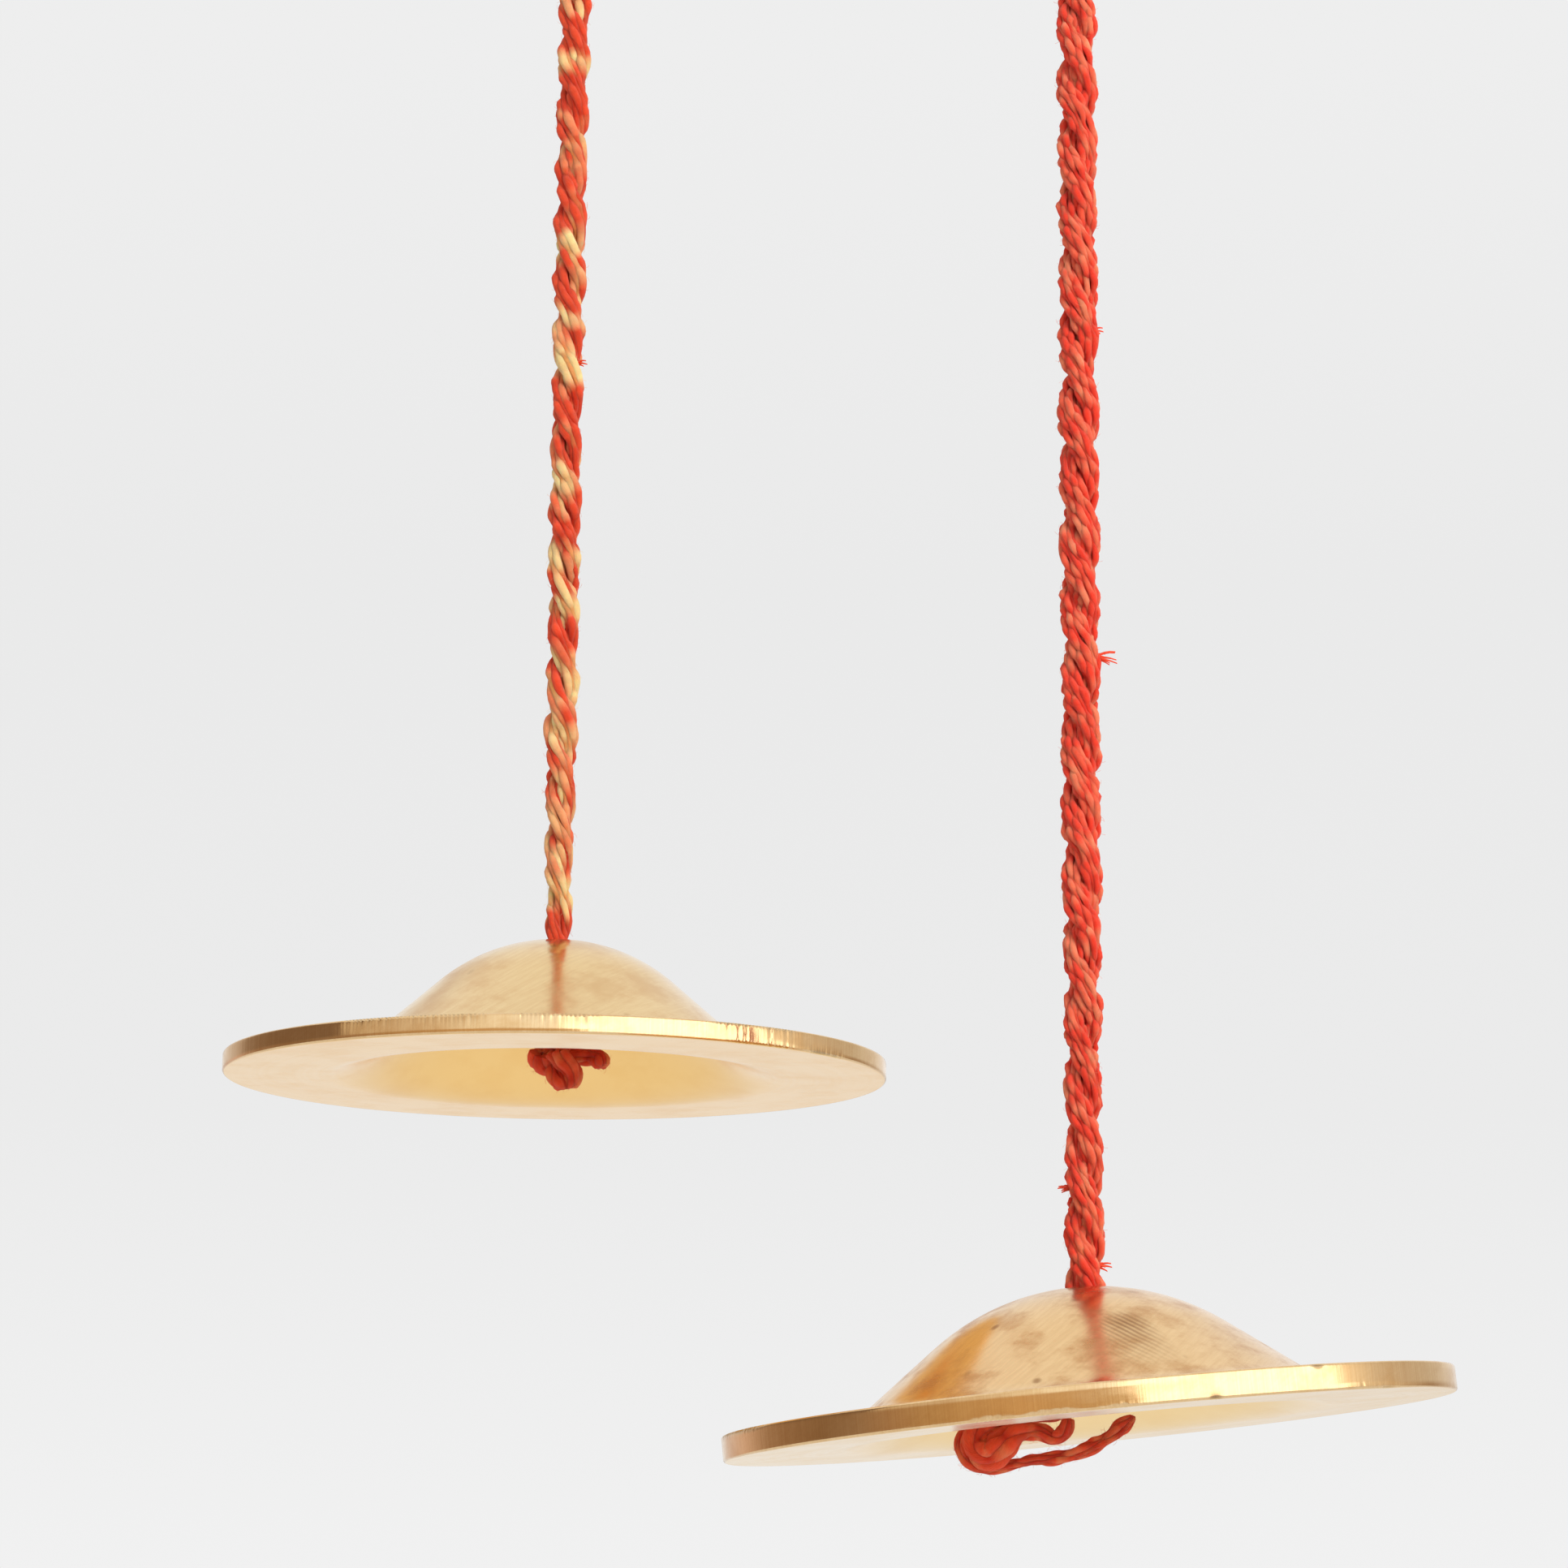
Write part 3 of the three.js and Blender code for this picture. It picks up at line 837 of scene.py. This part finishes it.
# Pitches, the smudges' size and the depths of the marks are in mm. The other finishes change what
# differs from this one.
plainBrass = {
    "color": rgb(235, 206, 155), "hazeColor": rgb(218, 178, 126), "streakColor": rgb(200, 160, 90),
    "ringPitch": 0.6, "streakPitch": 0.5, "smudgeSize": 5.0,
    "haze": 0.75, "scratches": 0.35, "streaks": 0.0, "specks": 0.25,
    "roughness": 0.15, "hazeRoughness": 0.1,
    "ringDepth": 0.0008, "streakDepth": 0.0, "dentDepth": 0.008, "scratchDepth": 0.001,
}


def brassMaterial(name, **changes):
    b = {**plainBrass, **changes}
    material, tree = newMaterial(name)
    masks = put(tree, "ShaderNodeGroup", {
        "Ring Pitch": b["ringPitch"], "Streak Pitch": b["streakPitch"], "Smudge Size": b["smudgeSize"]},
        node_tree=brassMarks).outputs
    grime, touched = attribute(tree, "grime"), attribute(tree, "touched")
    haze = spread(masks["Smudges"], *marks["hazeRange"], smooth=True)
    lines = spread(masks["Scratches"], *marks["scratchRange"])
    color = mixColor(multiply(haze, b["haze"]), b["color"], b["hazeColor"])
    color = mixColor(multiply(lines, b["scratches"]), color, b["hazeColor"])
    streaks = spread(masks["Streaks"], *marks["streakRange"])
    color = mixColor(multiply(streaks, b["streaks"]), color, b["streakColor"])
    # A finger's mark: fine ridges that break up the shine
    ridges = spread(masks["Ridges"], *marks["ridgeRange"])
    mark = multiply(touched, spread(ridges, 0.0, 1.0, *marks["fingerLight"]))
    color = mixColor(mark, color, marks["finger"])
    color = mixColor(multiply(masks["Specks"], b["specks"]), color, marks["speck"])
    color = mixColor(grime, color, marks["grime"])
    rough = multiplyAdd(haze, b["hazeRoughness"], b["roughness"])
    rough = multiplyAdd(subtract(masks["Rings"], 0.5), marks["ringRoughness"], rough)
    height = multiply(masks["Rings"], b["ringDepth"])
    for mark, depth in (
            ("Streaks", "streakDepth"), ("Smudges", "dentDepth"), ("Scratches", "scratchDepth")):
        height = multiplyAdd(masks[mark], b[depth], height)
    bump = result(tree, "ShaderNodeBump", {"Strength": 1.0, "Distance": mm, "Height": height})
    shader = result(tree, "ShaderNodeBsdfPrincipled", {
        "Base Color": color, "Roughness": rough, "Normal": bump, "Metallic": 1.0})
    put(tree, "ShaderNodeOutputMaterial", {"Surface": shader})
    return material


brass = {
    "leftOutside": brassMaterial("brassLeftOutside"),
    "rightOutside": brassMaterial(
        "brassRightOutside", color=rgb(238, 202, 150), hazeColor=rgb(200, 148, 92), smudgeSize=4.4,
        haze=0.8, scratches=0.22, roughness=0.19, specks=0.8),
    "rim": brassMaterial(
        "brassRim", color=rgb(240, 208, 160), hazeColor=rgb(212, 166, 104),
        streakColor=rgb(204, 152, 92), ringPitch=0.5, streakPitch=0.16, smudgeSize=3.0, haze=0.35,
        scratches=0.1, streaks=0.35, specks=0.0, roughness=0.1, hazeRoughness=0.08, ringDepth=0.0005,
        streakDepth=0.004, dentDepth=0.004, scratchDepth=0.0),
}
underside = {"ringPitch": 0.45, "smudgeSize": 7.0, "haze": 0.35, "scratches": 0.05, "specks": 0.0,
             "roughness": 0.18, "hazeRoughness": 0.06, "dentDepth": 0.004, "scratchDepth": 0.0005}
brass["leftUnderside"] = brassMaterial(
    "brassLeftUnderside", color=rgb(254, 211, 139), hazeColor=rgb(248, 198, 120), **underside)
brass["rightUnderside"] = brassMaterial(
    "brassRightUnderside", color=rgb(255, 224, 168), hazeColor=rgb(250, 212, 148), **underside)
print("brass made")


# Cymbals
# Each is turned about its own axis, with its underside at height 0, and all its sizes are in mm.
# Angles round it are in degrees from its front, towards its right. Chatter is where the turning
# tool left teeth on an edge of the rim, and topTeeth and bottomTeeth say how deep they are on each
# ring of the rim. A nick has an angle, an edge and a width, and a finger's mark a place from above.
cymbals = {
    "left": {
        "height": 12.7, "domeRadius": 16.4, "slope": 41.0, "flareRadius": 6.4, "wall": 1.6,
        "flangeThickness": 1.7, "holeRadius": 1.8, "holeOffset": 0.0, "tilt": 0.0,
        "chatter": {"top": [(-33, -9), (-3, 9), (30, 46)], "bottom": [(33, 45), (50, 59)]}, "nicks": [],
        "toothDepth": 0.14, "toothGrime": 0.28,
        "topTeeth": {2: 0.2, 3: 0.6, 4: 1.0, 5: 1.0, 6: 0.9, 7: 0.6, 8: 0.25},
        "bottomTeeth": {14: 0.2, 13: 0.6, 12: 1.0, 11: 1.0, 10: 0.9, 9: 0.5},
        "touched": None,
    },
    "right": {
        "height": 11.5, "domeRadius": 20.2, "slope": 36.6, "flareRadius": 6.6, "wall": 1.7,
        "flangeThickness": 2.1, "holeRadius": 2.1, "holeOffset": 0.8, "tilt": -5.805,
        "chatter": {"top": [(-84, -62)], "bottom": [(-21, -16), (-12.5, -5.5), (-2, 2.5), (37, 48)]},
        "nicks": [(14.5, "bottom", 1.2), (32, "top", 1.3)],
        "toothDepth": 0.09, "toothGrime": 0.05,
        "topTeeth": {3: 0.5, 4: 1.0, 5: 0.8, 6: 0.4},
        "bottomTeeth": {13: 0.6, 12: 1.0, 11: 1.0, 10: 0.6},
        "touched": {"place": (3.1, -12.9), "reach": (2.7, 3.0)},
    },
}
turned = {
    "rimRadius": 30.0, "rimEdge": 0.22, "holeEdge": 0.3,
    "domeSteps": 26, "flareSteps": 10, "mouthSteps": 12, "edgeSteps": 4,
    "rimIn": (0.9, 0.45),  # how far in from the rim its own rings start
    "rimHeights": (0.72, 0.5, 0.28),  # shares of its thickness
    "rimPolish": (3, 4),  # its first rings with the outside's finish, and last with the underside's
    "teeth": 510,  # round the rim, where it chattered
    "sidesPerTooth": 2,
    "sidesJoined": 4,  # sides of the rim to one side of the rest
    "quietTeeth": 0.1,  # how deep they are where it didn't, to where it did
    "chatterFade": 3.0,
    "leastTooth": 0.45,  # to the deepest
    "toothSteps": (12.9898, 4.1),  # radians from one side of the rim to the next, so that no tooth repeats
    "nickDepth": 0.06, "nickGrime": 0.55,
    "offsetReach": 9.0,  # radius within which an offset hole draws the rings aside
}


def arc(centre, radius, first, last, steps):
    # Angles in degrees, from straight up towards the outside
    angles = [math.radians(first + (last - first) * i / steps) for i in range(steps + 1)]
    return [(centre[0] + radius * math.sin(a), centre[1] + radius * math.cos(a)) for a in angles]


def cymbalRings(c):
    # Radius and height of each ring, in three runs: hole and outside, rim, underside and cup
    rim, edge, lip = turned["rimRadius"], turned["rimEdge"], turned["holeEdge"]
    steps = turned["edgeSteps"]
    thickness = c["flangeThickness"]
    domeCentre = (0.0, c["height"] - c["domeRadius"])
    flareHeight = thickness + c["flareRadius"]
    slope = math.radians(c["slope"])
    drop = domeCentre[1] + (c["domeRadius"] + c["flareRadius"]) * math.cos(slope) - flareHeight
    flareEnd = (c["domeRadius"] + c["flareRadius"]) * math.sin(slope) + drop / math.tan(slope)
    flareCentre = (flareEnd, flareHeight)
    lipRadius = c["holeRadius"] + lip

    def onDome(radius):
        start = math.degrees(math.asin(lipRadius / radius))
        return arc(domeCentre, radius, start, c["slope"], turned["domeSteps"])

    outsideTop = onDome(c["domeRadius"])
    insideTop = onDome(c["domeRadius"] - c["wall"])
    topLip = arc((lipRadius, outsideTop[0][1] - lip), lip, 270, 360, steps)[:-1]
    lowLip = arc((lipRadius, insideTop[0][1] + lip), lip, 180, 270, steps)[1:]
    flare = arc(flareCentre, c["flareRadius"], 180 + c["slope"], 180, turned["flareSteps"])
    middle = (flareEnd + rim) / 2
    outside = topLip + outsideTop + flare + [(middle, thickness)]
    band = [(rim - far, thickness) for far in turned["rimIn"]]
    band += arc((rim - edge, thickness - edge), edge, 0, 90, steps)
    band += [(rim, thickness * share) for share in turned["rimHeights"]]
    band += arc((rim - edge, edge), edge, 90, 180, steps)
    band += [(rim - far, 0.0) for far in reversed(turned["rimIn"])]
    mouth = arc(flareCentre, flareHeight, 180, 180 + c["slope"], turned["mouthSteps"])
    underside = [(middle, 0.0)] + mouth + list(reversed(insideTop)) + lowLip
    return outside, band, underside


def inPatch(angle, patches):
    # How far an angle lies inside any of the patches, from 0 to 1
    fade = turned["chatterFade"]
    depth = max([min(angle - first, last - angle) for first, last in patches] or [-fade])
    return min(max(depth / fade + 0.5, 0.0), 1.0)


def makeCymbal(name, c):
    outside, band, underside = cymbalRings(c)
    fine = turned["teeth"] * turned["sidesPerTooth"]
    coarse = fine // turned["sidesJoined"]
    lip = c["holeRadius"] + turned["holeEdge"]
    quiet, least = turned["quietTeeth"], turned["leastTooth"]
    stride, waver = turned["toothSteps"]
    points, grime, touched, rows = [], [], [], []

    def drawnAside(radius, height, angle, dome):
        # Rings near the hole move with it, and keep to the dome that they lie on
        share = 1 - min(max((radius - lip) / (turned["offsetReach"] - lip), 0.0), 1.0)
        aside = c["holeOffset"] * share * share * (3 - 2 * share)
        x = radius * math.sin(angle) + aside
        y = -radius * math.cos(angle)
        reach = max(radius, lip)
        kept = math.sqrt(max(dome ** 2 - reach ** 2, 0.0))
        moved = math.sqrt(max(dome ** 2 - (reach * math.sin(angle) + aside) ** 2
                              - (reach * math.cos(angle)) ** 2, 0.0))
        return x, y, height + (moved - kept if aside else 0.0)

    def addRow(radius, height, sides, dome, edge="", share=1.0):
        row = []
        for i in range(sides):
            degrees = (i * 360 / sides + 180) % 360 - 180
            angle = math.radians(degrees)
            cut, dirt = 0.0, 0.0
            if edge:
                uneven = least + (1 - least) * math.sin(i * stride + math.sin(i * waver)) ** 2
                deep = quiet + (1 - quiet) * inPatch(degrees, c["chatter"][edge])
                bite = share * uneven * deep * (i % 2)
                cut, dirt = c["toothDepth"] * bite, c["toothGrime"] * bite
                for place, where, width in c["nicks"]:
                    away = abs(degrees - place) * math.radians(1) * radius / (width / 2)
                    if where == edge and away < 1 and share > 0.5:
                        cut += turned["nickDepth"] * (1 - away * away)
                        dirt = max(dirt, turned["nickGrime"] * (1 - away * away))
            down = cut if edge == "top" else -cut
            points.append(drawnAside(radius - cut, height - down, angle, dome))
            grime.append(dirt)
            row.append(len(points) - 1)
        rows.append(row)

    for radius, height in outside:
        addRow(radius, height, coarse, c["domeRadius"])
    for x, y, _ in points:
        share = 0.0
        if c["touched"]:
            place, reach = c["touched"]["place"], c["touched"]["reach"]
            far = math.hypot((x - place[0]) / reach[0], (y - place[1]) / reach[1])
            share = max(0.0, 1 - far * far)
        touched.append(share)
    for i, (radius, height) in enumerate(band):
        edge = "top" if i in c["topTeeth"] else "bottom" if i in c["bottomTeeth"] else ""
        addRow(radius, height, fine, c["domeRadius"], edge, c[edge + "Teeth"][i] if edge else 0)
    for radius, height in underside:
        addRow(radius, height, coarse, c["domeRadius"] - c["wall"])

    faces, zones = [], []
    firstRim = len(outside) + turned["rimPolish"][0]
    firstUnder = len(outside) + len(band) - turned["rimPolish"][1]
    for k, (a, b) in enumerate(zip(rows, rows[1:] + rows[:1])):
        zone = 0 if k < firstRim else 1 if k < firstUnder else 2
        if len(a) == len(b):
            n = len(a)
            faces += [(a[i], b[i], b[(i + 1) % n], a[(i + 1) % n]) for i in range(n)]
            zones += [zone] * n
            continue
        # One side of the coarse ring meets several of the fine one, all in one flat face
        few, many = (a, b) if len(a) < len(b) else (b, a)
        step = len(many) // len(few)
        for i in range(len(few)):
            fan = [many[(i * step + j) % len(many)] for j in range(step + 1)]
            face = [few[i], *fan, few[(i + 1) % len(few)]]
            faces.append(tuple(face if few is a else reversed(face)))
            zones.append(zone)

    mesh = bpy.data.meshes.new(name + "_turned_cymbal")
    hung = hungFrame(name, sides[name]["holeHeight"] / mm)
    tilt = Matrix.Rotation(math.radians(c["tilt"]), 4, "Y")
    held = Matrix.Translation((-c["holeOffset"], 0, -(c["height"] - c["wall"] / 2)))
    mesh.from_pydata([hung @ tilt @ held @ Vector(p) for p in points], [], faces)
    touched += [0.0] * (len(points) - len(touched))
    setAttribute(mesh, "own", "FLOAT_VECTOR", points)
    setAttribute(mesh, "grime", "FLOAT", grime)
    setAttribute(mesh, "touched", "FLOAT", touched)
    for key in (name + "Outside", "rim", name + "Underside"):
        mesh.materials.append(brass[key])
    mesh.polygons.foreach_set("material_index", zones)
    mesh.shade_smooth()
    mesh.update()
    piece = addObject(mesh.name, mesh)
    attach(piece, name + "_bell")
    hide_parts(name + "_cymbal")
    return piece


for cymbalName, cymbalValues in cymbals.items():
    made = makeCymbal(cymbalName, cymbalValues)
    low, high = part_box(cymbalName + "_cymbal")
    print(made.name, "made,", len(made.data.polygons), "faces; the CAD node spans",
          [round((b - a) / mm, 2) for a, b in zip(low, high)], "mm and it spans",
          [round(d / mm, 2) for d in made.dimensions])


# Studio
# What the brass mirrors: a pale sheet behind the cymbals and above them, a soft light at the
# camera's right, and the dim room. Degrees are round the cymbals from the camera, towards the right
# of the picture, and each brightness is linear light.
toCamera = (0.5864, -0.81, 0.0)
toRight = (0.81, 0.5864, 0.0)
studio = {
    "background": [(-10, 242), (1, 241), (7, 235), (14, 234), (21, 238), (60, 240)],  # by elevation
    "ceiling": (1.0, 1.0, 0.99),
    "floor": (1.22, 1.19, 1.10),
    "ambient": 0.72,
    "brightest": 2.6,
    "roomTop": 38,  # degrees above the horizon where the room gives way to the light ceiling
    "roomFoot": -24,
    "softness": (0.15, 0.12),  # of those two limits, in rise
    "heights": (3, 7),  # degrees above the horizon of the two rounds that follow
    "lowRoom": [
        (-180, (0.87, 0.87, 0.87)), (-168, (0.87, 0.87, 0.87)), (-156, (0.74, 0.62, 0.58)),
        (-140, (0.74, 0.56, 0.48)), (-122, (0.40, 0.27, 0.19)), (-94, (0.28, 0.18, 0.11)),
        (-80, (0.34, 0.24, 0.17)), (-66, (0.44, 0.29, 0.18)), (-52, (0.54, 0.37, 0.20)),
        (-24, (0.70, 0.48, 0.26)), (2, (0.68, 0.50, 0.30)), (10, (0.80, 0.65, 0.45)),
        (15, (2.40, 2.38, 2.30)), (80, (2.40, 2.38, 2.30)), (90, (0.95, 0.88, 0.78)),
        (128, (0.42, 0.31, 0.22)), (160, (0.80, 0.76, 0.72)), (180, (0.87, 0.87, 0.87))],
    "highRoom": [
        (-180, (0.92, 0.92, 0.92)), (-166, (0.92, 0.92, 0.91)), (-156, (0.80, 0.74, 0.68)),
        (-136, (0.54, 0.45, 0.39)), (-130, (0.34, 0.25, 0.19)), (-110, (0.24, 0.16, 0.11)),
        (-76, (0.24, 0.16, 0.11)), (-72, (0.65, 0.54, 0.41)), (-52, (0.74, 0.64, 0.53)),
        (-34, (0.86, 0.78, 0.68)), (-22, (1.08, 1.10, 1.08)), (2, (1.18, 1.24, 1.30)),
        (11, (2.50, 2.50, 2.45)), (76, (2.40, 2.38, 2.30)), (82, (1.15, 1.05, 0.90)),
        (96, (0.78, 0.72, 0.66)), (112, (0.66, 0.60, 0.54)), (128, (0.66, 0.62, 0.56)),
        (150, (0.86, 0.84, 0.80)), (166, (0.98, 0.98, 1.00)), (180, (0.92, 0.92, 0.92))],
}


def makeWorld():
    world = bpy.data.worlds.new("studio")
    bpy.context.scene.world = world
    world.use_nodes = True
    tree = world.node_tree
    tree.nodes.clear()
    way = put(tree, "ShaderNodeTexCoord").outputs["Generated"]
    ahead = vectorCalc("DOT_PRODUCT", way, toCamera)
    aside = vectorCalc("DOT_PRODUCT", way, toRight)
    bearing = spread(calc("ARCTAN2", aside, ahead), -math.pi, math.pi)
    rounds = []
    for key in ("lowRoom", "highRoom"):
        ramp = put(tree, "ShaderNodeValToRGB", {0: bearing})
        stops = ramp.color_ramp.elements
        for i, (degrees, light) in enumerate(studio[key]):
            stop = stops[i] if i < 2 else stops.new(1.0)
            stop.position = (degrees + 180) / 360
            stop.color = (*[v / studio["brightest"] for v in light], 1.0)
        rounds.append(times(ramp.outputs[0], studio["brightest"]))
    rise = put(tree, "ShaderNodeSeparateXYZ", {0: way}).outputs["Z"]
    top = math.sin(math.radians(studio["roomTop"]))
    foot = math.sin(math.radians(studio["roomFoot"]))
    softTop, softFoot = studio["softness"]
    over = spread(rise, top - softTop, top + softTop, smooth=True)
    under = spread(rise, foot + softFoot, foot - softFoot, smooth=True)
    low, high = (math.sin(math.radians(h)) for h in studio["heights"])
    room = mixColor(spread(rise, low, high), *rounds)
    mirrored = mixColor(over, room, (*studio["ceiling"], 1.0))
    mirrored = mixColor(under, mirrored, (*studio["floor"], 1.0))
    # The pale sheet behind, as the camera sees it
    height = multiply(calc("ARCSINE", rise), 180 / math.pi)
    sheet = put(tree, "ShaderNodeValToRGB", {0: spread(height, -90.0, 90.0)})
    shades = sheet.color_ramp.elements
    for i, (degrees, grey) in enumerate(studio["background"]):
        shade = shades[i] if i < 2 else shades.new(1.0)
        shade.position = (degrees + 90) / 180
        shade.color = rgb(grey, grey, grey)
    path = put(tree, "ShaderNodeLightPath").outputs
    glossy = result(tree, "ShaderNodeBackground", {"Color": mirrored, "Strength": 1.0})
    seen = result(tree, "ShaderNodeBackground", {"Color": sheet.outputs[0], "Strength": 1.0})
    soft = result(tree, "ShaderNodeBackground", {"Color": (1, 1, 1, 1), "Strength": studio["ambient"]})
    both = result(tree, "ShaderNodeMixShader", {
        0: path["Is Glossy Ray"], 1: soft, 2: glossy})
    both = result(tree, "ShaderNodeMixShader", {
        0: path["Is Camera Ray"], 1: both, 2: seen})
    put(tree, "ShaderNodeOutputWorld", {"Surface": both})


makeWorld()

keyLamp = {"place": (1.0, -0.3, 0.25), "aim": (0, 0, -0.12), "size": 0.8, "energy": 11}


def makeLamp():
    data = bpy.data.lights.new("keyLamp", "AREA")
    data.size = keyLamp["size"]
    data.energy = keyLamp["energy"]
    lamp = addObject("keyLamp", data)
    lamp.location = keyLamp["place"]
    way = Vector(keyLamp["aim"]) - lamp.location
    lamp.rotation_euler = way.to_track_quat("-Z", "Y").to_euler()
    lamp.visible_glossy = False  # the room above holds its mirror image


makeLamp()

# Far below the cymbals, which hang clear of it
floor = {"height": -0.75, "radius": 2.2, "sides": 96, "seen": rgb(240, 240, 240),
         "matte": rgb(236, 236, 236), "glow": 0.8}  # the floor keeps a trace of shade


def makeFloor():
    mesh = bpy.data.meshes.new("floor")
    shape = bmesh.new()
    bmesh.ops.create_circle(shape, cap_ends=True, segments=floor["sides"], radius=floor["radius"])
    bmesh.ops.translate(shape, verts=shape.verts, vec=(0, 0, floor["height"]))
    shape.to_mesh(mesh)
    shape.free()
    material, tree = newMaterial("paleFloor")
    path = put(tree, "ShaderNodeLightPath").outputs
    seen = calc("MAXIMUM", path["Is Camera Ray"], path["Is Glossy Ray"])
    pale = result(tree, "ShaderNodeEmission", {"Color": floor["seen"], "Strength": 1.0})
    matte = result(tree, "ShaderNodeBsdfDiffuse", {"Color": floor["matte"]})
    both = result(tree, "ShaderNodeMixShader", {
        0: multiply(seen, floor["glow"]), 1: matte, 2: pale})
    put(tree, "ShaderNodeOutputMaterial", {"Surface": both})
    mesh.materials.append(material)
    addObject("floor", mesh)


makeFloor()
print("studio made")

bpy.context.scene.view_settings.view_transform = "Standard"
